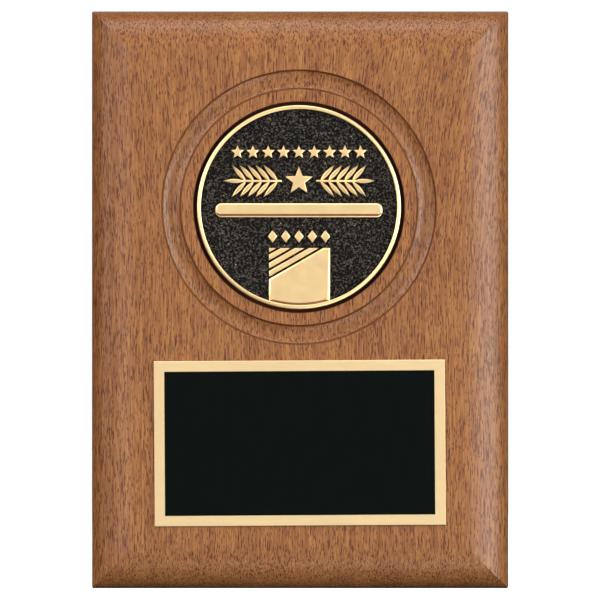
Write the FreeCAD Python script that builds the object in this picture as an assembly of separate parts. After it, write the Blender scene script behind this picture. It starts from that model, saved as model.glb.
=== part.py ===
"""Walnut award plaque: a solid walnut board with a cast medallion, an engraving plate and a keyhole hanger.

The origin is the centre of the board's flat back, on the wall's plane. +X is to the viewer's right,
+Z is up, and the front of the plaque faces -Y. Lengths are in millimetres and angles in degrees.
"""

import FreeCAD
import Part

import math
import os

from FreeCAD import Vector

# ---- Board: nominal 5 x 7 in, cut from 3/4 in walnut, with the grain upright ----
BOARD_WIDTH = 127.6
BOARD_HEIGHT = 176.8
BOARD_THICKNESS = 19.05
EDGE_RUN = 14.7            # how far the moulded edge reaches in from each side
EDGE_DROP = 10.3           # how far it falls from the face to the upright side
BACK_EASE = 0.5            # chamfer round the back
CORNER_ROUND = 0.6         # radius of the board's four corners, seen from the front

# ---- Routed circle: recess for the medallion, with a cove groove round it ----
MEDALLION_X = -0.35
MEDALLION_Z = 28.35
RECESS_RADIUS = 32.25
RECESS_DEPTH = 3.0
RECESS_EASE = 0.2
GROOVE_INNER = 36.05
GROOVE_OUTER = 42.15
GROOVE_DEPTH = 2.2
GROOVE_WALL_RUN = 0.55
GROOVE_WALL_DEPTH = 1.35

# ---- Medallion: nominal 2 1/2 in zinc casting, held by a foam disc ----
MEDALLION_RADIUS = 31.25
FOAM_THICKNESS = 0.8
FOAM_RADIUS = 26.0
RIM_INNER = 30.0
RIM_PROUD = 1.0            # rim top above the board's face
RIM_OUTER_ROUND = 0.6
RIM_INNER_ROUND = 0.45
FIELD_SINK = 0.1           # cast field below the board's face
RELIEF_PROUD = 0.75        # relief tops above the board's face

# ---- Relief: places are from the medallion's centre ----
BAR_LENGTH = 51.1
BAR_HEIGHT = 4.3
BAR_ROUND = 1.8
BAR_X = 0.0
BAR_Z = -0.93
STAR_COUNT = 9
STAR_RADIUS = 2.35
STAR_PITCH = 4.7
STAR_Z = 16.8
STAR_WAIST = 0.42          # inner radius of a star as a share of its outer radius
CENTRE_STAR_RADIUS = 4.6
SPRAY_Z = 8.0
SPRAY_START = 5.2          # each spray of laurel begins this far from the middle star's centre
SPRAY_REACH = 23.5         # and its last leaf ends here
SPRAY_PAIRS = 5
STEM_WIDTH = 0.7
LEAF_LENGTH = 6.8
LEAF_WIDTH = 1.4
LEAF_BELLY = 0.45          # widest place of a leaf as a share of its length
LEAF_ANGLE = 48.0
LOZENGE_COUNT = 5
LOZENGE_PITCH = 4.05
LOZENGE_WIDTH = 2.9
LOZENGE_HEIGHT = 4.1
LOZENGE_Z = -8.95
COLUMN_LEFT = -9.2
COLUMN_RIGHT = 9.5
COLUMN_TOP = -12.45
COLUMN_ROOT = 0.4          # how far the column's foot runs into the rim
COLUMN_CUTS = 4
COLUMN_CUT_WIDTH = 0.45
COLUMN_CUT_PITCH = 2.5     # along the column's left side
COLUMN_CUT_FIRST = 2.1     # the first cut meets the left side this far below the top
COLUMN_CUT_ANGLE = 30.0

# ---- Engraving plate: nominal 3 1/2 x 2 in brass, stuck on by hand and so not quite level ----
PLATE_WIDTH = 89.1
PLATE_HEIGHT = 50.55
PLATE_THICKNESS = 0.6
PLATE_EASE = 0.12
PLATE_X = -0.12
PLATE_Z = -43.84
PLATE_TILT = 0.35
TAPE_THICKNESS = 0.15
TAPE_INSET = 1.2

# ---- Keyhole hanger: steel plate let in flush at the back, with two wood screws ----
HANGER_Z = 61.0
HANGER_LENGTH = 36.0
HANGER_WIDTH = 16.0
HANGER_THICKNESS = 1.5
HANGER_CLEARANCE = 0.15
KEYHOLE_RADIUS = 4.5
KEYHOLE_DROP = 4.0         # centre of the entry hole below the hanger's middle
SLOT_RADIUS = 2.1
SLOT_RISE = 4.2            # centre of the slot's round end above the hanger's middle
POCKET_WIDTH = 11.0
POCKET_HEIGHT = 21.0
POCKET_DEPTH = 7.5
SCREW_OFFSET = 13.8        # from the hanger's middle to each screw
SCREW_SHANK_RADIUS = 1.4
SCREW_ROOT_RADIUS = 1.05
SCREW_HEAD_RADIUS = 2.75
SCREW_HEAD_FLAT = 0.15     # upright rim of the countersunk head
SCREW_LENGTH = 9.5
SCREW_TIP = 2.2
THREAD_PITCH = 1.1
THREAD_COUNT = 5
THREAD_FALL = 0.45         # share of the pitch over which each ring falls to the root
CROSS_WIDTH = 0.7
CROSS_SPAN = 2.9
CROSS_DEPTH = 1.1
CROSS_TAPER = 0.55         # the cross recess narrows to this share of its span

FRONT = -BOARD_THICKNESS
OUTWARD = Vector(0, -1, 0)     # away from the wall
WALLWARD = Vector(0, 1, 0)
UP = Vector(0, 0, 1)
OVERSHOOT = 1.0                # how far a cutter runs past the face it opens
TINY = 1e-6                    # closer than this counts as equal


def front_point(x, z, proud=0.0):
    """A point on a plane parallel to the board's face, that far in front of it."""
    return Vector(x, FRONT - proud, z)


def polygon_face(points):
    return Part.Face(Part.makePolygon(points + [points[0]]))


def turned_about_y(profile, x, z):
    """A profile in the XY plane, X being the radius, revolved into a solid about an axis along Y."""
    face = Part.Face(profile)
    solid = face.revolve(Vector(0, 0, 0), WALLWARD, 360)
    solid.translate(Vector(x, 0, z))
    return solid


def disc(x, z, radius, back, front):
    """A disc between two distances in front of the board's face, the front one being larger."""
    return Part.makeCylinder(radius, front - back, front_point(x, z, back), OUTWARD)


def edges_through(prism):
    """The straight edges of a prism that run from its front to its back."""
    return [edge for edge in prism.Edges if abs(abs(edge.tangentAt(0).dot(OUTWARD)) - 1) < TINY]


# ---- Board ----

def moulded_bar(width, length):
    """An upright bar of the board's section: flat face, quarter-ellipse edges, square back."""
    half = width / 2
    flat = half - EDGE_RUN
    spring = FRONT + EDGE_DROP
    right = Part.Ellipse(Vector(flat, spring, 0), EDGE_RUN, EDGE_DROP)
    left = Part.Ellipse(Vector(-flat, spring, 0), EDGE_RUN, EDGE_DROP)
    edges = [
        Part.LineSegment(Vector(-flat, FRONT, 0), Vector(flat, FRONT, 0)),
        Part.ArcOfEllipse(right, 1.5 * math.pi, 2 * math.pi),
        Part.LineSegment(Vector(half, spring, 0), Vector(half, -BACK_EASE, 0)),
        Part.LineSegment(Vector(half, -BACK_EASE, 0), Vector(half - BACK_EASE, 0, 0)),
        Part.LineSegment(Vector(half - BACK_EASE, 0, 0), Vector(BACK_EASE - half, 0, 0)),
        Part.LineSegment(Vector(BACK_EASE - half, 0, 0), Vector(-half, -BACK_EASE, 0)),
        Part.LineSegment(Vector(-half, -BACK_EASE, 0), Vector(-half, spring, 0)),
        Part.ArcOfEllipse(left, math.pi, 1.5 * math.pi),
    ]
    face = Part.Face(Part.Wire([edge.toShape() for edge in edges]))
    face.translate(UP * (-length / 2))
    return face.extrude(UP * length)


def moulded_blank():
    """The board before routing: two moulded bars at right angles, whose overlap has mitred corners."""
    upright = moulded_bar(BOARD_WIDTH, BOARD_HEIGHT + 2 * OVERSHOOT)
    level = moulded_bar(BOARD_HEIGHT, BOARD_WIDTH + 2 * OVERSHOOT)
    level.rotate(Vector(0, 0, 0), WALLWARD, 90)
    outline = Part.makeBox(BOARD_WIDTH, BOARD_THICKNESS, BOARD_HEIGHT,
                           Vector(-BOARD_WIDTH / 2, FRONT, -BOARD_HEIGHT / 2))
    outline = outline.makeFillet(CORNER_ROUND, edges_through(outline))
    return upright.common(level).common(outline)


def groove_cutter():
    """Ring that leaves the cove groove, a hollow arc between two steep walls."""
    middle = (GROOVE_INNER + GROOVE_OUTER) / 2
    top = FRONT - OVERSHOOT
    inner = Vector(GROOVE_INNER, FRONT, 0)
    outer = Vector(GROOVE_OUTER, FRONT, 0)
    inner_foot = Vector(GROOVE_INNER + GROOVE_WALL_RUN, FRONT + GROOVE_WALL_DEPTH, 0)
    outer_foot = Vector(GROOVE_OUTER - GROOVE_WALL_RUN, FRONT + GROOVE_WALL_DEPTH, 0)
    edges = [
        Part.LineSegment(Vector(GROOVE_INNER, top, 0), inner),
        Part.LineSegment(inner, inner_foot),
        Part.Arc(inner_foot, Vector(middle, FRONT + GROOVE_DEPTH, 0), outer_foot),
        Part.LineSegment(outer_foot, outer),
        Part.LineSegment(outer, Vector(GROOVE_OUTER, top, 0)),
        Part.LineSegment(Vector(GROOVE_OUTER, top, 0), Vector(GROOVE_INNER, top, 0)),
    ]
    wire = Part.Wire([edge.toShape() for edge in edges])
    return turned_about_y(wire, MEDALLION_X, MEDALLION_Z)


def recess_cutter():
    """Flat-bottomed recess for the medallion, its mouth eased by a small chamfer."""
    floor = FRONT + RECESS_DEPTH
    outline = Part.makePolygon([
        Vector(0, FRONT - OVERSHOOT, 0),
        Vector(RECESS_RADIUS + RECESS_EASE + OVERSHOOT, FRONT - OVERSHOOT, 0),
        Vector(RECESS_RADIUS, FRONT + RECESS_EASE, 0),
        Vector(RECESS_RADIUS, floor, 0),
        Vector(0, floor, 0),
        Vector(0, FRONT - OVERSHOOT, 0),
    ])
    return turned_about_y(outline, MEDALLION_X, MEDALLION_Z)


def stadium(width, height, middle, depth):
    """Upright slab with half-round ends, from y = middle.y towards the front by depth."""
    radius = width / 2
    rise = height / 2 - radius
    slab = Part.makeBox(width, depth, 2 * rise, Vector(-radius, -depth, -rise))
    for end in (-rise, rise):
        slab = slab.fuse(Part.makeCylinder(radius, depth, Vector(0, 0, end), OUTWARD))
    slab = slab.removeSplitter()
    slab.translate(middle)
    return slab


def screw_places():
    """The upper and lower hanger screws, each with the place of its head on the back plane."""
    return {
        "upper": Vector(0, 0, HANGER_Z + SCREW_OFFSET),
        "lower": Vector(0, 0, HANGER_Z - SCREW_OFFSET),
    }


def walnut_board():
    board = moulded_blank()
    board = board.cut(recess_cutter())
    board = board.cut(groove_cutter())
    middle = Vector(0, 0, HANGER_Z)
    seat = stadium(HANGER_WIDTH + 2 * HANGER_CLEARANCE, HANGER_LENGTH + 2 * HANGER_CLEARANCE,
                   middle + WALLWARD * OVERSHOOT, HANGER_THICKNESS + OVERSHOOT)
    pocket = stadium(POCKET_WIDTH, POCKET_HEIGHT, middle, POCKET_DEPTH)
    board = board.cut(seat).cut(pocket)
    for place in screw_places().values():
        board = board.cut(Part.makeCylinder(SCREW_SHANK_RADIUS, SCREW_LENGTH, place, OUTWARD))
    return board


# ---- Medallion ----

def raised(face_points, proud=RELIEF_PROUD):
    """A prism from inside the cast base up to proud, over an outline of (x, z) places."""
    base = -FIELD_SINK - OVERSHOOT
    points = [front_point(MEDALLION_X + x, MEDALLION_Z + z, base) for x, z in face_points]
    return polygon_face(points).extrude(OUTWARD * (proud - base))


def star_points(x, z, radius):
    tips = 5
    points = []
    for step in range(2 * tips):
        angle = math.pi / 2 + step * math.pi / tips
        reach = radius if step % 2 == 0 else radius * STAR_WAIST
        points.append((x + reach * math.cos(angle), z + reach * math.sin(angle)))
    return points


def leaf_prism(x, z, angle):
    """Pointed leaf between two arcs, growing from (x, z) along angle."""
    base = -FIELD_SINK - OVERSHOOT

    def placed(along, across):
        turn = math.radians(angle)
        px = x + along * math.cos(turn) - across * math.sin(turn)
        pz = z + along * math.sin(turn) + across * math.cos(turn)
        return front_point(MEDALLION_X + px, MEDALLION_Z + pz, base)

    root, tip = placed(0, 0), placed(LEAF_LENGTH, 0)
    widest = LEAF_LENGTH * LEAF_BELLY
    sides = [Part.Arc(root, placed(widest, hand * LEAF_WIDTH / 2), tip) for hand in (1, -1)]
    wire = Part.Wire([side.toShape() for side in sides])
    return Part.Face(wire).extrude(OUTWARD * (RELIEF_PROUD - base))


def spray(hand):
    """One laurel spray: a stem with pairs of leaves and a leaf at its tip. hand is 1 for the right."""
    start = hand * SPRAY_START
    stem = hand * (SPRAY_REACH - LEAF_LENGTH + STEM_WIDTH - SPRAY_START)
    half = STEM_WIDTH / 2
    along = 0 if hand > 0 else 180
    pieces = [raised([(start, SPRAY_Z - half), (start + stem, SPRAY_Z - half),
                      (start + stem, SPRAY_Z + half), (start, SPRAY_Z + half)])]
    for pair in range(SPRAY_PAIRS):
        root = start + stem * (pair + 0.5) / SPRAY_PAIRS
        pieces += [leaf_prism(root, SPRAY_Z, along + side * LEAF_ANGLE) for side in (1, -1)]
    pieces.append(leaf_prism(start + stem - hand * STEM_WIDTH, SPRAY_Z, along))
    return pieces


def bar():
    """The plain raised bar across the middle, its corners rounded."""
    left, right = BAR_X - BAR_LENGTH / 2, BAR_X + BAR_LENGTH / 2
    low, high = BAR_Z - BAR_HEIGHT / 2, BAR_Z + BAR_HEIGHT / 2
    body = raised([(left, low), (right, low), (right, high), (left, high)])
    return body.makeFillet(BAR_ROUND, edges_through(body))


def column():
    """The block that rises from the rim's foot, with slanting cuts across its upper left corner."""
    foot = -RIM_INNER - COLUMN_ROOT
    block = raised([(COLUMN_LEFT, foot), (COLUMN_RIGHT, foot),
                    (COLUMN_RIGHT, COLUMN_TOP), (COLUMN_LEFT, COLUMN_TOP)])
    block = block.common(disc(MEDALLION_X, MEDALLION_Z, RIM_INNER + COLUMN_ROOT,
                              -FIELD_SINK - OVERSHOOT, RELIEF_PROUD))
    start, end = COLUMN_LEFT - OVERSHOOT, COLUMN_RIGHT + OVERSHOOT
    slope = math.tan(math.radians(COLUMN_CUT_ANGLE))
    rise = COLUMN_CUT_WIDTH / math.cos(math.radians(COLUMN_CUT_ANGLE))
    for number in range(COLUMN_CUTS):
        low = COLUMN_TOP - COLUMN_CUT_FIRST - number * COLUMN_CUT_PITCH - OVERSHOOT * slope
        high = low + (end - start) * slope
        block = block.cut(raised([(start, low), (end, high), (end, high + rise), (start, low + rise)],
                                 RELIEF_PROUD + OVERSHOOT))
    return block


def relief():
    """Every raised figure of the medallion, as a list of solids."""
    first = -(STAR_COUNT - 1) / 2 * STAR_PITCH
    figures = [raised(star_points(first + n * STAR_PITCH, STAR_Z, STAR_RADIUS)) for n in range(STAR_COUNT)]
    figures.append(raised(star_points(0, SPRAY_Z, CENTRE_STAR_RADIUS)))
    figures += spray(1) + spray(-1)
    figures.append(bar())
    first = -(LOZENGE_COUNT - 1) / 2 * LOZENGE_PITCH
    for number in range(LOZENGE_COUNT):
        x = first + number * LOZENGE_PITCH
        figures.append(raised([(x - LOZENGE_WIDTH / 2, LOZENGE_Z), (x, LOZENGE_Z - LOZENGE_HEIGHT / 2),
                               (x + LOZENGE_WIDTH / 2, LOZENGE_Z), (x, LOZENGE_Z + LOZENGE_HEIGHT / 2)]))
    figures.append(column())
    return figures


def medallion_blank():
    """The cast disc with its rounded rim and sunk field, before the relief."""
    back = FRONT + RECESS_DEPTH - FOAM_THICKNESS
    field = FRONT + FIELD_SINK
    crest = FRONT - RIM_PROUD
    quarter = math.sqrt(0.5)
    outer_centre = (MEDALLION_RADIUS - RIM_OUTER_ROUND, crest + RIM_OUTER_ROUND)
    inner_centre = (RIM_INNER + RIM_INNER_ROUND, crest + RIM_INNER_ROUND)
    outer_middle = Vector(outer_centre[0] + RIM_OUTER_ROUND * quarter,
                          outer_centre[1] - RIM_OUTER_ROUND * quarter, 0)
    inner_middle = Vector(inner_centre[0] - RIM_INNER_ROUND * quarter,
                          inner_centre[1] - RIM_INNER_ROUND * quarter, 0)
    side_top = Vector(MEDALLION_RADIUS, outer_centre[1], 0)
    crest_out = Vector(outer_centre[0], crest, 0)
    crest_in = Vector(inner_centre[0], crest, 0)
    inner_top = Vector(RIM_INNER, inner_centre[1], 0)
    edges = [
        Part.LineSegment(Vector(0, back, 0), Vector(MEDALLION_RADIUS, back, 0)),
        Part.LineSegment(Vector(MEDALLION_RADIUS, back, 0), side_top),
        Part.Arc(side_top, outer_middle, crest_out),
        Part.LineSegment(crest_out, crest_in),
        Part.Arc(crest_in, inner_middle, inner_top),
        Part.LineSegment(inner_top, Vector(RIM_INNER, field, 0)),
        Part.LineSegment(Vector(RIM_INNER, field, 0), Vector(0, field, 0)),
        Part.LineSegment(Vector(0, field, 0), Vector(0, back, 0)),
    ]
    wire = Part.Wire([edge.toShape() for edge in edges])
    return turned_about_y(wire, MEDALLION_X, MEDALLION_Z)


def medallion():
    return medallion_blank().multiFuse(relief()).removeSplitter()


def medallion_foam():
    """Double-sided foam disc between the recess floor and the medallion."""
    return disc(MEDALLION_X, MEDALLION_Z, FOAM_RADIUS, -RECESS_DEPTH, FOAM_THICKNESS - RECESS_DEPTH)


# ---- Engraving plate ----

def plate_layer(inset, back, thickness):
    """A sheet parallel to the face, inset from the plate's outline, turned with the plate."""
    width, height = PLATE_WIDTH - 2 * inset, PLATE_HEIGHT - 2 * inset
    sheet = Part.makeBox(width, thickness, height,
                         Vector(PLATE_X - width / 2, FRONT - back - thickness, PLATE_Z - height / 2))
    sheet.rotate(Vector(PLATE_X, 0, PLATE_Z), OUTWARD, PLATE_TILT)
    return sheet


def plate_tape():
    return plate_layer(TAPE_INSET, 0.0, TAPE_THICKNESS)


def engraving_plate():
    """Sheet brass, with the guillotined front edges eased."""
    sheet = plate_layer(0.0, TAPE_THICKNESS, PLATE_THICKNESS)
    crest = FRONT - TAPE_THICKNESS - PLATE_THICKNESS
    rim = [edge for edge in sheet.Edges if all(abs(v.Y - crest) < TINY for v in edge.Vertexes)]
    return sheet.makeChamfer(PLATE_EASE, rim)


# ---- Keyhole hanger ----

def countersink(place):
    """Cone of the screw's head below its flat rim, the widest part at the back plane."""
    drop = SCREW_HEAD_RADIUS - SCREW_SHANK_RADIUS
    start = place + OUTWARD * SCREW_HEAD_FLAT
    cone = Part.makeCone(SCREW_HEAD_RADIUS, SCREW_SHANK_RADIUS, drop, start, OUTWARD)
    return cone.fuse(Part.makeCylinder(SCREW_HEAD_RADIUS, SCREW_HEAD_FLAT, place, OUTWARD))


def keyhole_hanger():
    middle = Vector(0, 0, HANGER_Z)
    plate = stadium(HANGER_WIDTH, HANGER_LENGTH, middle, HANGER_THICKNESS)
    through = HANGER_THICKNESS + 2 * OVERSHOOT
    outside = middle + WALLWARD * OVERSHOOT
    entry = Part.makeCylinder(KEYHOLE_RADIUS, through, outside - UP * KEYHOLE_DROP, OUTWARD)
    slot_end = Part.makeCylinder(SLOT_RADIUS, through, outside + UP * SLOT_RISE, OUTWARD)
    slot = Part.makeBox(2 * SLOT_RADIUS, through, SLOT_RISE + KEYHOLE_DROP,
                        Vector(-SLOT_RADIUS, OVERSHOOT - through, HANGER_Z - KEYHOLE_DROP))
    plate = plate.cut(entry.fuse([slot_end, slot]))
    for place in screw_places().values():
        plate = plate.cut(countersink(place))
        plate = plate.cut(Part.makeCylinder(SCREW_SHANK_RADIUS, through, place, OUTWARD))
    return plate


def cross_recess(place):
    """Cross-shaped driver recess, two tapered slots at right angles."""
    half, low = CROSS_SPAN / 2, CROSS_SPAN * CROSS_TAPER / 2
    slots = []
    for turn in (0, 90):
        outline = [Vector(-half, OVERSHOOT, 0), Vector(half, OVERSHOOT, 0), Vector(half, 0, 0),
                   Vector(low, -CROSS_DEPTH, 0), Vector(-low, -CROSS_DEPTH, 0), Vector(-half, 0, 0)]
        slot = polygon_face(outline).extrude(UP * CROSS_WIDTH)
        slot.translate(UP * (-CROSS_WIDTH / 2))
        slot.rotate(Vector(0, 0, 0), WALLWARD, turn)
        slot.translate(place)
        slots.append(slot)
    return slots[0].fuse(slots[1])


def wood_screw(place):
    """Countersunk wood screw, driven from the back plane, its thread a stack of sharp rings."""
    head_drop = SCREW_HEAD_FLAT + SCREW_HEAD_RADIUS - SCREW_SHANK_RADIUS
    thread_end = SCREW_LENGTH - SCREW_TIP
    thread_start = thread_end - THREAD_COUNT * THREAD_PITCH
    outline = [(0, 0), (SCREW_HEAD_RADIUS, 0), (SCREW_HEAD_RADIUS, SCREW_HEAD_FLAT),
               (SCREW_SHANK_RADIUS, head_drop), (SCREW_SHANK_RADIUS, thread_start)]
    for number in range(THREAD_COUNT):
        ring = thread_start + number * THREAD_PITCH
        outline.append((SCREW_ROOT_RADIUS, ring + THREAD_PITCH * THREAD_FALL))
        outline.append((SCREW_SHANK_RADIUS, ring + THREAD_PITCH))
    outline += [(SCREW_ROOT_RADIUS, thread_end + THREAD_PITCH * THREAD_FALL), (0, SCREW_LENGTH)]
    profile = Part.makePolygon([Vector(r, -depth, 0) for r, depth in outline + [outline[0]]])
    screw = turned_about_y(profile, place.x, place.z)
    return screw.cut(cross_recess(place))


def all_nodes():
    nodes = {
        "walnut_board": walnut_board(),
        "medallion": medallion(),
        "medallion_foam": medallion_foam(),
        "engraving_plate": engraving_plate(),
        "plate_tape": plate_tape(),
        "keyhole_hanger": keyhole_hanger(),
    }
    for name, place in screw_places().items():
        nodes["hanger_screw_" + name] = wood_screw(place)
    return nodes


def main():
    os.makedirs("parts", exist_ok=True)
    for name, shape in all_nodes().items():
        print(name, "solids", len(shape.Solids), "valid", shape.isValid(), "volume", round(shape.Volume, 2))
        shape.exportStep(os.path.join("parts", name + ".step"))


main()
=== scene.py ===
"""Looks of the walnut wall plaque: detailed medallion and plate, and procedural finishes for every part."""

import math

import bpy
from mathutils import Matrix, Vector, noise


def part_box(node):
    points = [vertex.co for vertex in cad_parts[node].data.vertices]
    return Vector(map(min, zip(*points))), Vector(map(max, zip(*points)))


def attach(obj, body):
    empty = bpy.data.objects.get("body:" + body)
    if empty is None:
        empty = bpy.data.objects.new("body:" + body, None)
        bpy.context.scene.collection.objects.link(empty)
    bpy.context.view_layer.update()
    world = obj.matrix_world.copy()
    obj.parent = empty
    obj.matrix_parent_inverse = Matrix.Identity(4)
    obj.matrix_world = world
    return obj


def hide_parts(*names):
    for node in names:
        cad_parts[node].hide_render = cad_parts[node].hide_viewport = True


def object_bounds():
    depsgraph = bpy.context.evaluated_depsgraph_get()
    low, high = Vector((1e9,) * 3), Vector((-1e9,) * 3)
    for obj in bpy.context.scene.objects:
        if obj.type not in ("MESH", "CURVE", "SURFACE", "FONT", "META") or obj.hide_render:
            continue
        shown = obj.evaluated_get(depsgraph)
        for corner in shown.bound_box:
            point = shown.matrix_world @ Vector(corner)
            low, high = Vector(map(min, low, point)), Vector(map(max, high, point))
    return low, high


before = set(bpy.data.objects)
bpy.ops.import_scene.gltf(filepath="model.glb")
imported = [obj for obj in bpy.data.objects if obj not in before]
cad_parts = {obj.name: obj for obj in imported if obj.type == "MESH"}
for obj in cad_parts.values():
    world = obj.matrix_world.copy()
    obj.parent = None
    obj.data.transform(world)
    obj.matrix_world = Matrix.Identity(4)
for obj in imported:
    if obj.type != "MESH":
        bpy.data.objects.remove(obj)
cad_low, cad_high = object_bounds()

MM = 0.001
ROOT = "root"

# ---- Places, from the frame ----
board_low, board_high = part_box("walnut_board")
medal_low, medal_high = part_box("medallion")
plate_low, plate_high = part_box("engraving_plate")
FACE_Y = board_low.y
MEDAL_X = (medal_low.x + medal_high.x) / 2
MEDAL_Z = (medal_low.z + medal_high.z) / 2
MEDAL_RADIUS = (medal_high.x - medal_low.x) / 2
CREST_Y = medal_low.y
MEDAL_BACK_Y = medal_high.y
PLATE_CENTRE = (plate_low + plate_high) / 2
PLATE_FRONT_Y = plate_low.y

# ---- Medallion, in mm from its centre ----
# Heights are measured outwards from the board's face.
RIM_INNER = 30.0
RIM_OUTER_ROUND = 0.55
RIM_INNER_ROUND = 0.32
RIM_LINE_RADIUS = 30.72
RIM_LINE_WIDTH = 0.16
RIM_LINE_DEPTH = 0.05
RIM_SKIRT = [(0.0, 0.3), (0.18, 0.06), (0.36, -0.5)]     # in from the rim, height: down to the black floor
BACK_CHAMFER = 0.2
SIDE_RINGS = 2             # the first rings of the body, its back edge and side, are black too
RIM_STEPS = 6
RIM_SEGMENTS = 384
FIELD_LEVEL = -0.1
FIELD_GRID = 0.22
FIELD_RADIUS = 29.95
PEBBLE_SIZE = 0.95
PEBBLE_HEIGHT = 0.14
SWELL_SIZE = 1.3           # the slow swell of the field, in pebbles
RELIEF_ROOT = -0.5
# Sections of the raised figures: (distance in from the outline, height) up to the flat top.
SKIRT = [(-0.3, RELIEF_ROOT), (-0.3, -0.06), (-0.12, 0.06), (0.0, 0.3)]
FIGURE_TOP = [(0.03, 0.52), (0.1, 0.66), (0.2, 0.73), (0.28, 0.75), (0.34, 0.75)]
SHADED_BEVEL_RINGS = (2, 3)      # the bevel's rings in the stepped section, painted with shade where they face down
SHADE_FACING = 0.3        # how squarely an edge faces down for its bevel to get the painted shade
STEPPED_TOP = [(0.02, 0.42), (0.1, 0.5), (0.14, 0.5), (0.18, 0.51), (0.4, 0.73), (0.46, 0.75), (0.52, 0.75)]
STEPPED_FALL = 1.6         # the stepped section is this much wider again where it faces down
BAR_LENGTH, BAR_HEIGHT, BAR_ROUND = 51.1, 4.3, 1.8
BAR_X, BAR_Z = 0.0, -0.93
STAR_COUNT, STAR_RADIUS, STAR_PITCH, STAR_Z = 9, 2.35, 4.7, 16.8
STAR_WAIST = 0.42
CENTRE_STAR_RADIUS = 4.6
SPRAY_Z, SPRAY_START, SPRAY_REACH, SPRAY_PAIRS = 8.0, 5.2, 23.5, 5
STEM_WIDTH = 0.7
LEAF_LENGTH, LEAF_WIDTH, LEAF_ANGLE = 6.8, 1.4, 48.0
LEAF_BELLY = 0.85          # below 1 the leaf is widest nearer its root
LEAF_STEPS, BAR_STEPS, FOOT_STEPS = 8, 6, 16
LOZENGE_COUNT, LOZENGE_PITCH = 5, 4.05
LOZENGE_WIDTH, LOZENGE_HEIGHT, LOZENGE_Z = 2.9, 4.1, -8.95
COLUMN_LEFT, COLUMN_RIGHT, COLUMN_TOP = -9.2, 9.5, -12.45
COLUMN_CUTS, COLUMN_CUT_WIDTH, COLUMN_CUT_PITCH = 4, 0.6, 2.5
COLUMN_CUT_FIRST, COLUMN_CUT_ANGLE = 2.1, 30.0
COLUMN_FOOT_REACH = 0.3    # the column's foot ends this far inside the rim

# ---- Recess and groove of the board, in mm from the medallion's centre ----
RECESS_RADIUS = 32.25
RECESS_DEPTH = 3.0
GROOVE_WALLS = (36.3, 41.9)
WALL_REACH = 0.3
# Painted shade in the recess and on the groove's two steep walls: how strongly each is darkened to stand in
# for the shade there
RECESS_PAINTED_SHADE, WALL_PAINTED_SHADE = 0.95, 0.38
PAINTED_SHADE_RIM = (-0.05, 0.3)  # the painted shade fades out between these distances past the recess's edge
PAINTED_SHADE_FLOOR = (0.1, 0.4)  # and between these depths under its floor

# ---- Engraving plate, in mm ----
PLATE_WIDTH, PLATE_HEIGHT = 89.1, 50.55
PLATE_BORDER = 3.2
PLATE_TILT = 0.35          # degrees
LACQUER_THICKNESS, LACQUER_EASE = 0.04, 0.03

# ---- Finish of each face in the medallion's pieces: its place in their lists of materials ----
# PAINTED_SHADE_GILT is painted shade: a dark gilt on the bevels that face down
GOLD, BLACK, PAINTED_SHADE_GILT = 0, 1, 2


# ---- Node helpers ----

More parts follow.
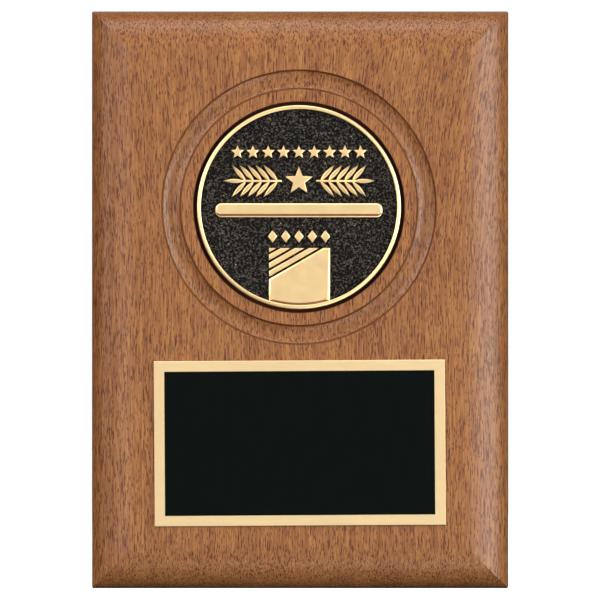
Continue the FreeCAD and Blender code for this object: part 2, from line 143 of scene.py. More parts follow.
class Nodes:
    """A material's node tree with short calls for the nodes used here."""

    def __init__(self, name):
        self.material = bpy.data.materials.new(name)
        self.material.use_nodes = True
        self.tree = self.material.node_tree
        self.tree.nodes.clear()
        self.output = self.tree.nodes.new("ShaderNodeOutputMaterial")
        self.shader = self.tree.nodes.new("ShaderNodeBsdfPrincipled")
        self.tree.links.new(self.shader.outputs[0], self.output.inputs["Surface"])

    def link(self, source, target):
        self.tree.links.new(source, target)

    def set(self, socket, value):
        """Gives an input a constant or the output of another node."""
        if isinstance(value, bpy.types.NodeSocket):
            self.link(value, socket)
        else:
            socket.default_value = value

    def finish(self, **values):
        """Sets the shader's inputs; underscores in a name stand for spaces."""
        for name, value in values.items():
            self.set(self.shader.inputs[name.replace("_", " ")], value)
        return self.material

    def position(self, scale):
        """Object coordinates in millimetres, scaled per axis."""
        coords = self.tree.nodes.new("ShaderNodeTexCoord")
        mapping = self.tree.nodes.new("ShaderNodeMapping")
        mapping.inputs["Scale"].default_value = [1 / MM * s for s in scale]
        self.link(coords.outputs["Object"], mapping.inputs["Vector"])
        return mapping.outputs[0]

    def scaled(self, vector, scale):
        node = self.tree.nodes.new("ShaderNodeVectorMath")
        node.operation = "MULTIPLY"
        self.set(node.inputs[0], vector)
        self.set(node.inputs[1], scale)
        return node.outputs[0]

    def math(self, operation, first, second=0.0, third=0.0):
        node = self.tree.nodes.new("ShaderNodeMath")
        node.operation = operation
        for socket, value in zip(node.inputs, (first, second, third)):
            self.set(socket, value)
        return node.outputs[0]

    def split(self, vector):
        node = self.tree.nodes.new("ShaderNodeSeparateXYZ")
        self.link(vector, node.inputs[0])
        return node.outputs

    def combine(self, x, y, z):
        node = self.tree.nodes.new("ShaderNodeCombineXYZ")
        for socket, value in zip(node.inputs, (x, y, z)):
            self.set(socket, value)
        return node.outputs[0]

    def noise(self, vector, scale=1.0, detail=2.0, roughness=0.5):
        node = self.tree.nodes.new("ShaderNodeTexNoise")
        self.set(node.inputs["Vector"], vector)
        node.inputs["Scale"].default_value = scale
        node.inputs["Detail"].default_value = detail
        node.inputs["Roughness"].default_value = roughness
        return node.outputs["Fac"]

    def cells(self, vector, scale=1.0, output="Distance"):
        node = self.tree.nodes.new("ShaderNodeTexVoronoi")
        self.set(node.inputs["Vector"], vector)
        node.inputs["Scale"].default_value = scale
        return node.outputs[output]

    def ramp(self, value, low, high, out_low=0.0, out_high=1.0):
        """Maps a value smoothly from low..high to out_low..out_high, held beyond them."""
        node = self.tree.nodes.new("ShaderNodeMapRange")
        node.interpolation_type = "SMOOTHSTEP"
        for socket, number in zip(node.inputs, (value, low, high, out_low, out_high)):
            self.set(socket, number)
        return node.outputs[0]

    def mix(self, factor, first, second, blend="MIX"):
        """Mix of two colours; inputs 6 and 7 and output 2 are the node's colour sockets."""
        node = self.tree.nodes.new("ShaderNodeMix")
        node.data_type = "RGBA"
        node.blend_type = blend
        self.set(node.inputs["Factor"], factor)
        self.set(node.inputs[6], colour(first))
        self.set(node.inputs[7], colour(second))
        return node.outputs[2]

    def bump(self, height, distance, strength):
        """Normal from a height; the distance is in millimetres."""
        node = self.tree.nodes.new("ShaderNodeBump")
        node.inputs["Strength"].default_value = strength
        node.inputs["Distance"].default_value = distance * MM
        self.link(height, node.inputs["Height"])
        return node.outputs[0]


def colour(value):
    """Adds the alpha that a socket wants to a plain colour; a node's output passes as it is."""
    return (*value, 1.0) if isinstance(value, tuple) and len(value) == 3 else value


# ---- Finishes ----

WOOD_GOLD = (0.312, 0.141, 0.044)
WOOD_PURPLE = (0.238, 0.097, 0.034)
WOOD_BROWN = (0.13, 0.04, 0.012)
WOOD_PORE = (0.055, 0.01, 0.002)
# WOOD_PAINTED_SHADE is painted shade, the dark put into the recess and onto the groove's walls
WOOD_PAINTED_SHADE = (0.045, 0.012, 0.005)
WOOD_COAT, END_GRAIN_COAT = 0.42, 0.1   # lacquer, and the share of it that end grain keeps
GRAIN_SWAY, GRAIN_WANDER = 5.0, 0.45    # how far the grain moves sideways, slowly and quickly, in mm
# The grain leans from LEAN_BELOW mm under the origin upwards, and more from LEAN_LEFT to LEAN_RIGHT.
GRAIN_LEAN, LEAN_BELOW, LEAN_LEFT, LEAN_RIGHT = 0.0007, 10.0, -15.0, 35.0


def painted_recess_shade(n, x, y, z):
    """Painted shade: dark painted strongly into the medallion's recess and faintly onto the groove's two
    steep walls, where shade falls.
    """
    across = n.math("SUBTRACT", x, MEDAL_X / MM)
    up = n.math("SUBTRACT", z, MEDAL_Z / MM)
    square = n.math("ADD", n.math("MULTIPLY", across, across), n.math("MULTIPLY", up, up))
    radius = n.math("SQRT", square)
    ring = n.ramp(radius, *(RECESS_RADIUS + past for past in PAINTED_SHADE_RIM), RECESS_PAINTED_SHADE, 0.0)
    for wall in GROOVE_WALLS:
        ring = n.math("MULTIPLY_ADD", n.math("COMPARE", radius, wall, WALL_REACH), WALL_PAINTED_SHADE, ring)
    floor_y = FACE_Y / MM + RECESS_DEPTH
    return n.math("MULTIPLY", ring, n.ramp(y, *(floor_y + under for under in PAINTED_SHADE_FLOOR), 1.0, 0.0))


def end_grain(n):
    """Share of the lacquer left on a face: the flat top and bottom edges soak most of it up."""
    geometry = n.tree.nodes.new("ShaderNodeNewGeometry")
    upright = n.math("ABSOLUTE", n.split(geometry.outputs["True Normal"])["Z"])
    return n.ramp(upright, 0.95, 0.99, 1.0, END_GRAIN_COAT)


def walnut():
    """Satin-lacquered walnut, its grain running up the board and leaning at the upper right."""
    n = Nodes("walnut_satin")
    place = n.position((1, 1, 1))
    x, y, z = n.split(place)

    rise = n.math("MAXIMUM", n.math("ADD", z, LEAN_BELOW), 0.0)
    side = n.ramp(x, LEAN_LEFT, LEAN_RIGHT)
    lean = n.math("MULTIPLY", n.math("MULTIPLY", rise, rise), n.math("MULTIPLY", side, GRAIN_LEAN))
    sway = n.noise(n.scaled(place, (0.02, 0.02, 0.018)), detail=1.0)
    drift = n.math("MULTIPLY", n.math("SUBTRACT", sway, 0.5), GRAIN_SWAY)
    wander = n.noise(n.scaled(place, (0.5, 0.5, 0.12)), detail=2.0)
    drift = n.math("MULTIPLY_ADD", n.math("SUBTRACT", wander, 0.5), GRAIN_WANDER, drift)
    grain_x = n.math("ADD", n.math("SUBTRACT", x, lean), drift)
    grain = n.combine(grain_x, y, z)

    bands = n.noise(n.scaled(grain, (0.16, 0.1, 0.006)), detail=2.0)
    streaks = n.noise(n.scaled(grain, (1.6, 1.0, 0.035)), detail=3.0, roughness=0.6)
    fibres = n.noise(n.scaled(grain, (3.8, 2.6, 0.18)), detail=3.0, roughness=0.7)

    tone = n.mix(n.ramp(streaks, 0.4, 0.58), WOOD_PURPLE, WOOD_GOLD)
    tone = n.mix(n.ramp(bands, 0.35, 0.7, 0.05, 0.25), tone, WOOD_BROWN)
    tone = n.mix(n.ramp(fibres, 0.43, 0.65, 0.0, 0.85), tone, WOOD_BROWN)

    density = n.ramp(bands, 0.3, 0.7, 0.9, 1.06)
    long_pores = n.cells(n.scaled(grain, (1.7, 1.2, 0.14)))
    short_pores = n.cells(n.scaled(grain, (1.7, 1.4, 0.42)))
    long_pores = n.ramp(n.math("DIVIDE", long_pores, density), 0.22, 0.34, 1.0, 0.0)
    short_pores = n.ramp(n.math("DIVIDE", short_pores, density), 0.22, 0.36, 0.85, 0.0)
    vessel = n.math("MAXIMUM", long_pores, short_pores)
    tone = n.mix(n.math("MULTIPLY", vessel, 0.85), tone, WOOD_PORE)
    # Painted shade in the recess and on the groove's walls; there it also takes away the lacquer and its
    # reflection
    painted_shade = painted_recess_shade(n, x, y, z)
    tone = n.mix(painted_shade, tone, WOOD_PAINTED_SHADE)
    coat = n.math("MULTIPLY", n.math("MULTIPLY_ADD", painted_shade, -WOOD_COAT, WOOD_COAT), end_grain(n))

    height = n.math("SUBTRACT", n.math("MULTIPLY", fibres, 0.25), vessel)
    normal = n.bump(height, 0.04, 0.6)
    return n.finish(
        Base_Color=tone,
        Roughness=n.ramp(streaks, 0.3, 0.7, 0.5, 0.42),
        Specular_IOR_Level=0.1,
        Coat_Weight=coat,
        Coat_Roughness=0.22,
        Normal=normal,
        Coat_Normal=normal,
    )


def gilt():
    """Soft gilt casting, faintly mottled."""
    n = Nodes("gilt_casting")
    place = n.position((1, 1, 1))
    cloud = n.noise(place, 0.25, detail=3.0)
    grit = n.noise(place, 6.0, detail=2.0)
    tone = n.mix(cloud, (0.97, 0.7, 0.35), (0.98, 0.74, 0.385))
    return n.finish(
        Base_Color=tone,
        Metallic=1.0,
        Roughness=n.ramp(cloud, 0.3, 0.7, 0.31, 0.35),
        Normal=n.bump(grit, 0.006, 0.25),
    )


def gilt_painted_shade():
    """Painted shade: a dark gilt along the down-facing lower edges of the broad figures, standing in for the
    dark they reflect.
    """
    n = Nodes("gilt_painted_shade")
    cloud = n.noise(n.position((1, 1, 1)), 1.2, detail=2.0)
    return n.finish(
        Base_Color=n.mix(cloud, (0.15, 0.06, 0.022), (0.26, 0.12, 0.045)),
        Metallic=0.6,
        Roughness=0.4,
    )


def field_black():
    """Oxidised black of the cast field, with a bronze fleck where the casting shows through."""
    n = Nodes("medallion_field_black")
    place = n.position((1, 1, 1))
    grit = n.noise(place, 1.7, detail=3.0, roughness=0.65)
    fine = n.noise(place, 4.0, detail=2.0)
    fleck = n.cells(place, 0.36)
    bare = n.ramp(fleck, 0.05, 0.09, 1.0, 0.0)
    tone = n.mix(n.ramp(grit, 0.47, 0.68), (0.002, 0.002, 0.002), (0.085, 0.074, 0.062))
    height = n.math("MULTIPLY_ADD", fine, 0.35, grit)
    return n.finish(
        Base_Color=n.mix(bare, tone, (0.5, 0.3, 0.16)),
        Metallic=n.math("MULTIPLY", bare, 0.8),
        Roughness=n.ramp(fine, 0.3, 0.7, 0.32, 0.2),
        Specular_IOR_Level=0.08,
        Normal=n.bump(height, 0.8, 1.0),
    )


def plate_brass():
    """Lacquered sheet brass with a fine satin grain along the plate."""
    n = Nodes("plate_brass")
    place = n.position((0.05, 1, 6))
    brushed = n.noise(place, 2.0, detail=3.0)
    cloud = n.noise(n.position((1, 1, 1)), 0.08, detail=2.0)
    tone = n.mix(cloud, (0.94, 0.71, 0.38), (0.97, 0.75, 0.42))
    return n.finish(
        Base_Color=tone,
        Metallic=1.0,
        Roughness=n.ramp(brushed, 0.3, 0.7, 0.3, 0.38),
        Normal=n.bump(brushed, 0.004, 0.4),
    )


def plate_black():
    """Black lacquer of the engraving panel, with the faintest dust and rub marks."""
    n = Nodes("plate_black_lacquer")
    place = n.position((1, 1, 1))
    dust = n.cells(place, 0.22)
    rub = n.noise(n.position((0.4, 1, 0.12)), 1.2, detail=4.0)
    speck = n.ramp(dust, 0.02, 0.045, 1.0, 0.0)
    tone = n.mix(n.ramp(rub, 0.4, 0.8), (0.0016, 0.0032, 0.0028), (0.0019, 0.0036, 0.0032))
    return n.finish(
        Base_Color=n.mix(n.math("MULTIPLY", speck, 0.3), tone, (0.05, 0.055, 0.055)),
        Roughness=n.ramp(rub, 0.3, 0.8, 0.46, 0.49),
        Specular_IOR_Level=0.03,
    )


def zinc_steel(name, tint):
    """Dulled zinc plating with a soft spangle."""
    n = Nodes(name)
    spangle = n.cells(n.position((1, 1, 1)), 0.9, output="Color")
    scuff = n.noise(n.position((1, 1, 0.15)), 2.5, detail=4.0)
    tone = n.mix(n.ramp(scuff, 0.3, 0.75), tint, tuple(c * 0.72 for c in tint))
    return n.finish(
        Base_Color=n.mix(0.08, tone, spangle, "SOFT_LIGHT"),
        Metallic=1.0,
        Roughness=n.ramp(scuff, 0.3, 0.75, 0.42, 0.55),
        Normal=n.bump(scuff, 0.02, 0.4),
    )


def foam():
    """White closed-cell foam."""
    n = Nodes("foam_tape")
    bubbles = n.cells(n.position((1, 1, 1)), 3.0)
    tone = n.mix(bubbles, (0.55, 0.55, 0.53), (0.8, 0.8, 0.78))
    return n.finish(Base_Color=tone, Roughness=0.9, Normal=n.bump(bubbles, 0.1, 0.6))


def adhesive_film():
    """Yellowish film, slightly rippled."""
    n = Nodes("adhesive_film")
    ripple = n.noise(n.position((1, 1, 1)), 0.8, detail=3.0)
    tone = n.mix(ripple, (0.62, 0.56, 0.42), (0.74, 0.69, 0.56))
    return n.finish(Base_Color=tone, Roughness=0.4, Normal=n.bump(ripple, 0.03, 0.4))


# ---- Mesh helpers ----

def add_piece(name, vertices, faces, materials, finish=None, sharp=None):
    """Closed mesh that rides on the plaque's only body.

    finish is each face's place in the list of materials. Faces are shaded smooth across edges up to the
    angle sharp, in degrees; without it they stay flat.
    """
    mesh = bpy.data.meshes.new(name)
    mesh.from_pydata(vertices, [], faces)
    for material in materials:
        mesh.materials.append(material)
    piece = bpy.data.objects.new(name, mesh)
    bpy.context.scene.collection.objects.link(piece)
    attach(piece, ROOT)
    if finish:
        mesh.polygons.foreach_set("material_index", finish)
    if sharp:
        mesh.shade_smooth()
        mesh.set_sharp_from_angle(angle=math.radians(sharp))
    return piece


def arc(centre, radius, start, end, steps):
    """Points on an arc, its ends included; angles in degrees."""
    turns = [math.radians(start + (end - start) * k / steps) for k in range(steps + 1)]
    return [(centre[0] + radius * math.cos(t), centre[1] + radius * math.sin(t)) for t in turns]


def medal_place(x, z, height):
    """A vertex from millimetres across, up and outwards from the medallion's centre at the board's face."""
    return (MEDAL_X + x * MM, FACE_Y - height * MM, MEDAL_Z + z * MM)


def band(first, count):
    """Faces between two closed loops of vertices, the second numbered right after the first."""
    quads = []
    for step in range(count):
        low, low_after = first + step, first + (step + 1) % count
        quads.append((low, low_after, low_after + count, low + count))
    return quads


def pebble(x, z):
    """Height of the cast field's grain at a place, 0 to 1."""
    near = noise.voronoi(Vector((x, z, 0.0)) / PEBBLE_SIZE)[0]
    cell = min(near[1] - near[0], 0.5) / 0.5
    swell = 0.5 + 0.5 * noise.noise(Vector((x, z, 7.0)) / (PEBBLE_SIZE * SWELL_SIZE))
    return 0.5 * math.sqrt(max(cell, 0.0)) + 0.5 * swell


# ---- Medallion ----

def rim_groove(radius, height):
    """Three points of the fine line struck along the rim's crest."""
    half = RIM_LINE_WIDTH / 2
    return [(radius + half, height), (radius, height - RIM_LINE_DEPTH), (radius - half, height)]


def medallion_body(materials):
    """Turned casting: back, side, rounded rim and the black floor under the field, as one closed mesh."""
    crest = (FACE_Y - CREST_Y) / MM
    back = (FACE_Y - MEDAL_BACK_Y) / MM
    radius = MEDAL_RADIUS / MM
    gold = [(radius - BACK_CHAMFER, back), (radius, back + BACK_CHAMFER)]
    gold += arc((radius - RIM_OUTER_ROUND, crest - RIM_OUTER_ROUND), RIM_OUTER_ROUND, 0, 90, RIM_STEPS)
    gold += rim_groove(RIM_LINE_RADIUS, crest)
    gold += arc((RIM_INNER + RIM_INNER_ROUND, crest - RIM_INNER_ROUND), RIM_INNER_ROUND, 90, 180, RIM_STEPS)
    profile = gold + [(RIM_INNER - inset, height) for inset, height in RIM_SKIRT]

    vertices = []
    for reach, height in profile:
        for step in range(RIM_SEGMENTS):
            turn = 2 * math.pi * step / RIM_SEGMENTS
            vertices.append(medal_place(reach * math.cos(turn), reach * math.sin(turn), height))
    faces = []
    finish = []
    for ring in range(len(profile) - 1):
        faces += band(ring * RIM_SEGMENTS, RIM_SEGMENTS)
        black = ring < SIDE_RINGS or ring >= len(gold)
        finish += [BLACK if black else GOLD] * RIM_SEGMENTS
    last = (len(profile) - 1) * RIM_SEGMENTS
    faces.append(tuple(range(last, last + RIM_SEGMENTS)))
    finish.append(BLACK)
    faces.append(tuple(reversed(range(RIM_SEGMENTS))))
    finish.append(GOLD)
    piece = add_piece("medallion_body", vertices, faces, materials, finish, sharp=50)
    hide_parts("medallion")


def medallion_field(material):
    """Sand-cast field: a pebbled sheet on a fine grid, closed underneath, its ragged edge inside the rim."""
    count = int(FIELD_RADIUS / FIELD_GRID) + 1
    numbers = {}
    vertices = []
    faces = []

    def corner(i, j):
        if (i, j) not in numbers:
            x, z = i * FIELD_GRID, j * FIELD_GRID
            numbers[i, j] = len(vertices)
            vertices.append(medal_place(x, z, FIELD_LEVEL + PEBBLE_HEIGHT * pebble(x, z)))
        return numbers[i, j]

    for i in range(-count, count):
        for j in range(-count, count):
            reach = math.hypot(i + 0.5, j + 0.5) * FIELD_GRID
            if reach < FIELD_RADIUS:
                faces.append((corner(i, j), corner(i + 1, j), corner(i + 1, j + 1), corner(i, j + 1)))

    sides = {(a, b) for face in faces for a, b in zip(face, face[1:] + face[:1])}
    border = {a: b for a, b in sides if (b, a) not in sides}
    loop = [next(iter(border))]
    while border[loop[-1]] != loop[0]:
        loop.append(border[loop[-1]])
    under = {}
    for number in loop:
        x, y, z = vertices[number]
        under[number] = len(vertices)
        vertices.append((x, FACE_Y - RELIEF_ROOT * MM, z))
    for a, b in zip(loop, loop[1:] + loop[:1]):
        faces.append((b, a, under[a], under[b]))
    faces.append(tuple(under[number] for number in reversed(loop)))
    add_piece("medallion_field", vertices, faces, [material], sharp=180)


def star(x, z, radius):
    """Five-pointed star outline with one point up."""
    points = []
    for step in range(10):
        angle = math.pi / 2 + step * math.pi / 5
        reach = radius if step % 2 == 0 else radius * STAR_WAIST
        points.append((x + reach * math.cos(angle), z + reach * math.sin(angle)))
    return points


def leaf(x, z, angle):
    """Lens-shaped leaf outline between two shallow arcs."""
    turn = math.radians(angle)
    points = []
    for hand in (1, -1):
        for k in range(LEAF_STEPS):
            t = k / LEAF_STEPS if hand > 0 else 1 - k / LEAF_STEPS
            along = LEAF_LENGTH * t
            across = hand * LEAF_WIDTH / 2 * math.sin(math.pi * t ** LEAF_BELLY)
            points.append((x + along * math.cos(turn) - across * math.sin(turn),
                           z + along * math.sin(turn) + across * math.cos(turn)))
    return points


def rectangle(x, z, width, height):
    """Outline of a rectangle about its centre, anticlockwise from its lower left corner."""
    return [(x + sx * width / 2, z + sz * height / 2) for sx, sz in ((-1, -1), (1, -1), (1, 1), (-1, 1))]


def rounded_bar():
    """Outline of the plain bar with its rounded corners."""
    centres = rectangle(BAR_X, BAR_Z, BAR_LENGTH - 2 * BAR_ROUND, BAR_HEIGHT - 2 * BAR_ROUND)
    points = []
    for number, centre in enumerate(centres):
        start = 180 + 90 * number
        points += arc(centre, BAR_ROUND, start, start + 90, BAR_STEPS)
    return points


def spray(hand):
    """Outlines of a laurel spray lying to the right (1) or left (-1): stem, leaf pairs and end leaf."""
    start = hand * SPRAY_START
    stem = hand * (SPRAY_REACH - LEAF_LENGTH + STEM_WIDTH - SPRAY_START)
    along = 0 if hand > 0 else 180
    outlines = [rectangle(start + stem / 2, SPRAY_Z, abs(stem), STEM_WIDTH)]
    for pair in range(SPRAY_PAIRS):
        root = start + stem * (pair + 0.5) / SPRAY_PAIRS
        outlines += [leaf(root, SPRAY_Z, along + side * LEAF_ANGLE) for side in (1, -1)]
    outlines.append(leaf(start + stem - hand * STEM_WIDTH, SPRAY_Z, along))
    return outlines


def column_strips():
    """The column's outline, split by its slanting cuts into separate strips."""
    slope = math.tan(math.radians(COLUMN_CUT_ANGLE))
    rise = COLUMN_CUT_WIDTH / math.cos(math.radians(COLUMN_CUT_ANGLE))
    strips = []
    upper_end = [(COLUMN_LEFT, COLUMN_TOP)]
    for number in range(COLUMN_CUTS):
        low = COLUMN_TOP - COLUMN_CUT_FIRST - number * COLUMN_CUT_PITCH + rise
        near_top = COLUMN_LEFT + (COLUMN_TOP - low) / slope
        strips.append([(COLUMN_LEFT, low), (near_top, COLUMN_TOP)] + upper_end)
        low -= rise
        upper_end = [(COLUMN_LEFT + (COLUMN_TOP - low) / slope, COLUMN_TOP), (COLUMN_LEFT, low)]
    reach = RIM_INNER + COLUMN_FOOT_REACH
    start, end = (math.degrees(math.asin(side / reach)) for side in (COLUMN_LEFT, COLUMN_RIGHT))
    foot = arc((0, 0), reach, 270 + start, 270 + end, FOOT_STEPS)
    strips.append(foot + [(COLUMN_RIGHT, COLUMN_TOP)] + upper_end)
    return strips


def row(count, pitch):
    """Places of a row of figures, centred."""
    return [(number - (count - 1) / 2) * pitch for number in range(count)]


def figure_outlines():
    """Outlines of the generic figures: a row of stars, two sprays with a star between, a row of lozenges."""
    outlines = [star(x, STAR_Z, STAR_RADIUS) for x in row(STAR_COUNT, STAR_PITCH)]
    outlines.append(star(0, SPRAY_Z, CENTRE_STAR_RADIUS))
    outlines += spray(1) + spray(-1)
    for x in row(LOZENGE_COUNT, LOZENGE_PITCH):
        outlines.append([(x - LOZENGE_WIDTH / 2, LOZENGE_Z), (x, LOZENGE_Z - LOZENGE_HEIGHT / 2),
                         (x + LOZENGE_WIDTH / 2, LOZENGE_Z), (x, LOZENGE_Z + LOZENGE_HEIGHT / 2)])
    return outlines


def moved_in(outline, distance, fall=0.0):
    """An anticlockwise outline moved inwards, by a share more (fall) where it faces down."""
    points = []
    for k, (bx, bz) in enumerate(outline):
        ax, az = outline[k - 1]
        cx, cz = outline[(k + 1) % len(outline)]
        first = Vector((bx - ax, bz - az)).normalized()
        second = Vector((cx - bx, cz - bz)).normalized()
        half = Vector((-first.y - second.y, first.x + second.x)) / (1 + first.dot(second))
        reach = distance * (1 + fall * max(half.normalized().y, 0.0) ** 2)
        points.append((bx + half.x * reach, bz + half.y * reach))
    return points


def signed_area(outline):
    """Positive for an anticlockwise outline."""
    return sum(a[0] * b[1] - b[0] * a[1] for a, b in zip(outline, outline[1:] + outline[:1])) / 2


def faces_down(outline, number):
    """Whether the side that starts at a point of an anticlockwise outline faces down."""
    start, end = outline[number], outline[(number + 1) % len(outline)]
    return (end[0] - start[0]) / math.dist(start, end) > SHADE_FACING


def relief(materials):
    """The raised figures as one piece, each a closed solid with its own section.

    Sides are black up to the top's section; a stepped top's bevel is painted with shade where it faces down.
    """
    *strips, body = column_strips()
    figures = [(outline, FIGURE_TOP) for outline in figure_outlines()]
    figures.append((rounded_bar(), STEPPED_TOP))
    figures += [(strip, FIGURE_TOP) for strip in strips]
    figures.append((body, STEPPED_TOP))
    vertices, faces, finish = [], [], []
    for outline, top in figures:
        if signed_area(outline) < 0:
            outline = outline[::-1]
        count = len(outline)
        first = len(vertices)
        for ring, (inset, height) in enumerate(SKIRT + top):
            fall = STEPPED_FALL if top is STEPPED_TOP and ring >= len(SKIRT) else 0.0
            vertices += [medal_place(x, z, height) for x, z in moved_in(outline, inset, fall)]
        for ring in range(len(SKIRT + top) - 1):
            faces += band(first + ring * count, count)
            # Painted shade: the stepped top's bevel is darkened where it faces down
            shaded_bevel = top is STEPPED_TOP and ring - len(SKIRT) in SHADED_BEVEL_RINGS
            for number in range(count):
                painted_dark = shaded_bevel and faces_down(outline, number)
                finish.append(BLACK if ring < len(SKIRT) - 1 else PAINTED_SHADE_GILT if painted_dark else GOLD)
        faces.append(tuple(reversed(range(first, first + count))))
        finish.append(BLACK)
        last = len(vertices) - count
        faces.append(tuple(range(last, last + count)))
        finish.append(GOLD)
    add_piece("medallion_relief", vertices, faces, materials, finish, sharp=40)


# ---- Engraving plate ----

def black_panel():
    """The plate's black lacquer, a film with soft edges inside the bright border."""
    turn = Matrix.Rotation(math.radians(-PLATE_TILT), 4, "Y")
    place = Matrix.Translation((PLATE_CENTRE.x, PLATE_FRONT_Y, PLATE_CENTRE.z)) @ turn
    loops = [(0.0, 0.0), (0.0, LACQUER_THICKNESS - LACQUER_EASE), (LACQUER_EASE, LACQUER_THICKNESS)]
    vertices = []
    for inset, lift in loops:
        margin = 2 * (PLATE_BORDER + inset)
        corners = rectangle(0, 0, PLATE_WIDTH - margin, PLATE_HEIGHT - margin)
        vertices += [place @ Vector((x * MM, -lift * MM, z * MM)) for x, z in corners]
    faces = band(0, 4) + band(4, 4) + [(8, 9, 10, 11), (3, 2, 1, 0)]
    add_piece("plate_black_panel", vertices, faces, [plate_black()])


# ---- Floor, light and camera ----

FLOOR_SIZE = 60.0
WARM = (1.0, 0.89, 0.84)
# Lamps: degrees right of and above the view line, distance, width and height in metres, watts, tint.
LAMPS = {
    "key_near": (30, 4, 1.6, 1.0, 1.1, 4.0),
    "key": (42, 4, 1.6, 1.0, 1.1, 8.0),
    "key_far": (55, 4, 1.6, 1.0, 1.1, 9.2),
    "key_edge": (70, 4, 1.6, 1.0, 1.1, 9.3),
    "key_upper": (40, 40, 1.6, 1.0, 0.8, 2.7),
    "top": (0, 58, 1.5, 1.2, 0.8, 3.4),
    "top_edge": (0, 75, 1.5, 1.2, 0.8, 8.0),
    "left_near": (-30, 8, 1.6, 0.8, 1.0, 5.9, WARM),
    "left": (-50, 25, 1.6, 0.8, 1.0, 10.9, WARM),
    "left_edge": (-70, 15, 1.6, 0.8, 1.0, 5.4, WARM),
    "low_near": (25, -25, 1.6, 1.0, 0.6, 3.2, WARM),
    "low": (25, -45, 1.6, 1.0, 0.6, 6.9, WARM),
    "behind_left": (-155, 25, 1.8, 1.0, 1.0, 13.0),
    "behind_right": (155, 25, 1.8, 1.0, 1.0, 13.0),
}
CARD_INNER, CARD_OUTER = 14.0, 42.0     # degrees from the view line over which the bright card fades
BACK_INNER, BACK_OUTER = 62.0, 102.0    # and over which the dim room fades out
CARD_LIGHT, ROOM_LIGHT, BACK_LIGHT, SEEN_LIGHT = 0.73, 0.4, 0.05, 1.05
LENS, SENSOR = 1200.0, 36.0             # mm; a long lens, as flat as the photo
LENS_SHIFT = (-0.0002, -0.0003)
VIEW_MARGIN = 25 / 24                   # the picture's height over the board's


def floor():
    """Plain pale floor under the plaque, which throws no light on it."""
    corners = rectangle(0, 0, FLOOR_SIZE, FLOOR_SIZE)
    mesh = bpy.data.meshes.new("floor")
    mesh.from_pydata([(x, y, cad_low.z) for x, y in corners], [], [(0, 1, 2, 3)])
    n = Nodes("floor_white")
    mesh.materials.append(n.finish(
        Base_Color=(0.6, 0.6, 0.6, 1.0),
        Roughness=0.8,
        Specular_IOR_Level=0.0,
        Emission_Color=(1.0, 1.0, 1.0, 1.0),
        Emission_Strength=0.95,
    ))
    plane = bpy.data.objects.new("floor", mesh)
    bpy.context.scene.collection.objects.link(plane)
    plane.visible_diffuse = False
    plane.visible_glossy = False


def softbox(name, across, up, distance, width, height, power, tint=(1.0, 1.0, 1.0)):
    """Area lamp aimed at the board; angles in degrees to the right of and above the view line."""
    light = bpy.data.lights.new(name, "AREA")
    light.shape = "RECTANGLE"
    light.size = width
    light.size_y = height
    light.energy = power
    light.color = tint
    lamp = bpy.data.objects.new(name, light)
    a, e = math.radians(across), math.radians(up)
    towards = Vector((math.sin(a) * math.cos(e), -math.cos(a) * math.cos(e), math.sin(e)))
    lamp.location = towards * distance
    lamp.rotation_mode = "QUATERNION"
    lamp.rotation_quaternion = (-towards).to_track_quat("-Z", "Y")
    lamp.visible_camera = False
    bpy.context.scene.collection.objects.link(lamp)


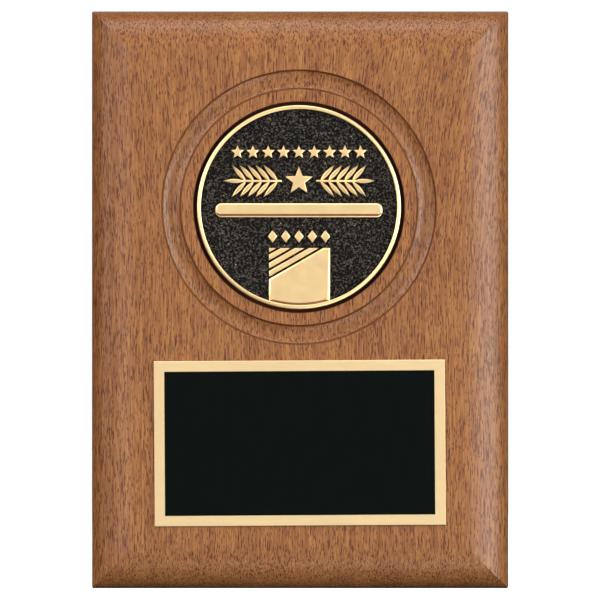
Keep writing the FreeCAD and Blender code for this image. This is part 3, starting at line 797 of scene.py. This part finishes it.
def studio_world():
    """White to the eye; as light, a bright card about the view line, a dim room, almost none behind."""
    world = bpy.data.worlds.new("studio")
    bpy.context.scene.world = world
    world.use_nodes = True
    tree = world.node_tree
    tree.nodes.clear()

    def add(kind, **values):
        node = tree.nodes.new(kind)
        for name, value in values.items():
            node.inputs[name.replace("_", " ")].default_value = value
        return node

    def fade_out(inner, outer, start, end):
        """A level that goes from start to end between two angles from the view line, in degrees."""
        node = add("ShaderNodeMapRange", From_Min=-math.cos(math.radians(inner)),
                   From_Max=-math.cos(math.radians(outer)), To_Min=start, To_Max=end)
        node.interpolation_type = "SMOOTHSTEP"
        return node

    output = add("ShaderNodeOutputWorld")
    mix = add("ShaderNodeMixShader")
    path = add("ShaderNodeLightPath")
    seen = add("ShaderNodeBackground", Color=(1, 1, 1, 1), Strength=SEEN_LIGHT)
    light = add("ShaderNodeBackground")
    coords = add("ShaderNodeTexCoord")
    split = add("ShaderNodeSeparateXYZ")
    card = fade_out(CARD_INNER, CARD_OUTER, CARD_LIGHT, ROOM_LIGHT)
    back = fade_out(BACK_INNER, BACK_OUTER, 0.0, ROOM_LIGHT - BACK_LIGHT)
    fade = add("ShaderNodeMath")
    fade.operation = "SUBTRACT"
    tree.links.new(coords.outputs["Generated"], split.inputs[0])
    tree.links.new(split.outputs["Y"], card.inputs["Value"])
    tree.links.new(split.outputs["Y"], back.inputs["Value"])
    tree.links.new(card.outputs[0], fade.inputs[0])
    tree.links.new(back.outputs[0], fade.inputs[1])
    tree.links.new(fade.outputs[0], light.inputs["Strength"])
    tree.links.new(path.outputs["Is Camera Ray"], mix.inputs[0])
    tree.links.new(light.outputs[0], mix.inputs[1])
    tree.links.new(seen.outputs[0], mix.inputs[2])
    tree.links.new(mix.outputs[0], output.inputs["Surface"])


def camera():
    """Straight in front of the board, from far off."""
    view_height = VIEW_MARGIN * (board_high.z - board_low.z)
    data = bpy.data.cameras.new("camera")
    data.lens = LENS
    data.sensor_width = SENSOR
    data.clip_start, data.clip_end = 0.05, 100.0
    data.shift_x, data.shift_y = LENS_SHIFT
    viewer = bpy.data.objects.new("camera", data)
    middle = (board_low + board_high) / 2
    viewer.location = (middle.x, -view_height * LENS / SENSOR, middle.z)
    viewer.rotation_euler = (math.radians(90), 0, 0)
    bpy.context.scene.collection.objects.link(viewer)
    bpy.context.scene.camera = viewer


# ---- Build ----

gilt_casting, black_field = gilt(), field_black()
medallion_body([gilt_casting, black_field])
medallion_field(black_field)
relief([gilt_casting, black_field, gilt_painted_shade()])
black_panel()

finishes = {
    "walnut_board": walnut(),
    "engraving_plate": plate_brass(),
    "medallion_foam": foam(),
    "plate_tape": adhesive_film(),
    "keyhole_hanger": zinc_steel("hanger_zinc", (0.62, 0.64, 0.67)),
    "hanger_screw_upper": zinc_steel("screw_zinc_upper", (0.66, 0.6, 0.44)),
    "hanger_screw_lower": zinc_steel("screw_zinc_lower", (0.66, 0.6, 0.44)),
}
for node, material in finishes.items():
    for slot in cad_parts[node].material_slots:
        slot.material = material

floor()
for lamp_name, settings in LAMPS.items():
    softbox(lamp_name, *settings)
studio_world()
camera()
bpy.context.scene.view_settings.view_transform = "Standard"
